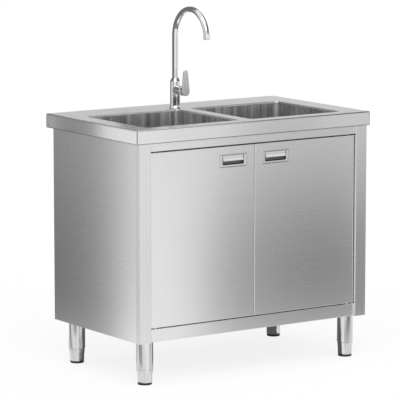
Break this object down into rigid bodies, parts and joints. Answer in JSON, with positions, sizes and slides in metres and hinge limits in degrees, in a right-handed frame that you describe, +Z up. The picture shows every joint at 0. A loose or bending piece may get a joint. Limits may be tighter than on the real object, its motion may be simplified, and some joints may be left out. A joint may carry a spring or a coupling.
{
  "type": "sink unit",
  "caption": "Free-standing stainless-steel sink unit: folded worktop with welded bowls and a gooseneck mixer over a cabinet with hinged doors, recessed pulls and adjustable legs.",
  "frame": {"origin": "on the floor under the middle of the worktop", "axes": "+X to the right seen from the doors, +Y to the wall behind, +Z up"},
  "size_m": [1, 0.6, 1.278],
  "materials": {
    "brushed_sheet": "horizontal brushed grain, satin",
    "polished_tube": "polished",
    "chrome": "mirror bright",
    "satin_chrome": "satin",
    "zinc_fixing": "zinc plated",
    "brass": "machined",
    "copper": "drawn copper tube",
    "white_plastic": "moulded, smooth",
    "white_nylon": "moulded, matt",
    "black_plastic": "moulded, matt",
    "black_pad": "moulded, matt",
    "grey_rubber": "matt"
  },
  "bodies": {
    "cabinet": {"worktop": "brushed_sheet", "bowl_left": "brushed_sheet", "bowl_right": "brushed_sheet", "worktop_braces": "brushed_sheet", "side_panel_left": "brushed_sheet", "side_panel_right": "brushed_sheet", "back_panel": "brushed_sheet", "front_post_left": "brushed_sheet", "front_post_right": "brushed_sheet", "top_rail": "brushed_sheet", "bottom_rail": "brushed_sheet", "bottom_shelf": "brushed_sheet", "leg_channels": "brushed_sheet", "leg_front_left": "polished_tube", "leg_front_right": "polished_tube", "leg_back_left": "polished_tube", "leg_back_right": "polished_tube", "leg_nuts": "zinc_fixing", "leg_plugs": "black_plastic", "pivot_pins": "zinc_fixing", "door_catch": "black_plastic", "tap_body": "chrome", "cartridge_cap": "chrome", "tap_base_seal": "grey_rubber", "tap_shank": "brass", "tap_back_nut": "brass", "supply_tails": "copper", "cartridge": "white_nylon", "strainer_body_left": "polished_tube", "strainer_body_right": "polished_tube", "strainer_gaskets": "grey_rubber", "strainer_nuts": "white_plastic", "waste_pipes": "white_plastic", "slip_nuts": "white_plastic", "trap": "white_plastic"},
    "door_left": {"door_left_skin": "brushed_sheet", "door_left_liner": "brushed_sheet", "door_left_pull": "brushed_sheet", "door_left_bushes": "white_nylon", "door_left_strike": "zinc_fixing"},
    "door_right": {"door_right_skin": "brushed_sheet", "door_right_liner": "brushed_sheet", "door_right_pull": "brushed_sheet", "door_right_bushes": "white_nylon", "door_right_strike": "zinc_fixing"},
    "spout": {"spout_tube": "chrome", "aerator": "chrome"},
    "mixer": {"mixer_carrier": "brass"},
    "lever": {"lever_stem": "brass", "tap_lever": "satin_chrome"},
    "basket_left": {"basket_left": "polished_tube"},
    "basket_right": {"basket_right": "polished_tube"},
    "foot_front_left": {"foot_front_left": "polished_tube", "foot_pad_front_left": "black_pad"},
    "foot_front_right": {"foot_front_right": "polished_tube", "foot_pad_front_right": "black_pad"},
    "foot_back_left": {"foot_back_left": "polished_tube", "foot_pad_back_left": "black_pad"},
    "foot_back_right": {"foot_back_right": "polished_tube", "foot_pad_back_right": "black_pad"}
  },
  "joints": [
    {"name": "door_left_hinge", "type": "hinge", "parent": "cabinet", "child": "door_left", "pos_m": [-0.4155, -0.2795, 0.51], "axis": [0, 0, -1], "range_deg": [0, 110]},
    {"name": "door_right_hinge", "type": "hinge", "parent": "cabinet", "child": "door_right", "pos_m": [0.4155, -0.2795, 0.51], "axis": [0, 0, 1], "range_deg": [0, 110]},
    {"name": "spout_swivel", "type": "hinge", "parent": "cabinet", "child": "spout", "pos_m": [-0.032, 0.168, 1], "axis": [0, 0, 1], "continuous": true},
    {"name": "mixer_turn", "type": "hinge", "parent": "cabinet", "child": "mixer", "pos_m": [-0.032, 0.134, 0.9675], "axis": [0, -1, 0], "range_deg": [-50, 50]},
    {"name": "lever_lift", "type": "hinge", "parent": "mixer", "child": "lever", "pos_m": [-0.032, 0.118, 0.9675], "axis": [1, 0, 0], "range_deg": [0, 25]},
    {"name": "foot_front_left_height", "type": "slide", "parent": "cabinet", "child": "foot_front_left", "axis": [0, 0, -1], "range_m": [0, 0.025]},
    {"name": "foot_front_right_height", "type": "slide", "parent": "cabinet", "child": "foot_front_right", "axis": [0, 0, -1], "range_m": [0, 0.025]},
    {"name": "foot_back_left_height", "type": "slide", "parent": "cabinet", "child": "foot_back_left", "axis": [0, 0, -1], "range_m": [0, 0.025]},
    {"name": "foot_back_right_height", "type": "slide", "parent": "cabinet", "child": "foot_back_right", "axis": [0, 0, -1], "range_m": [0, 0.025]},
    {"name": "basket_left_lift", "type": "slide", "parent": "cabinet", "child": "basket_left", "axis": [0, 0, 1], "range_m": [0, 0.3]},
    {"name": "basket_right_lift", "type": "slide", "parent": "cabinet", "child": "basket_right", "axis": [0, 0, 1], "range_m": [0, 0.3]}
  ]
}
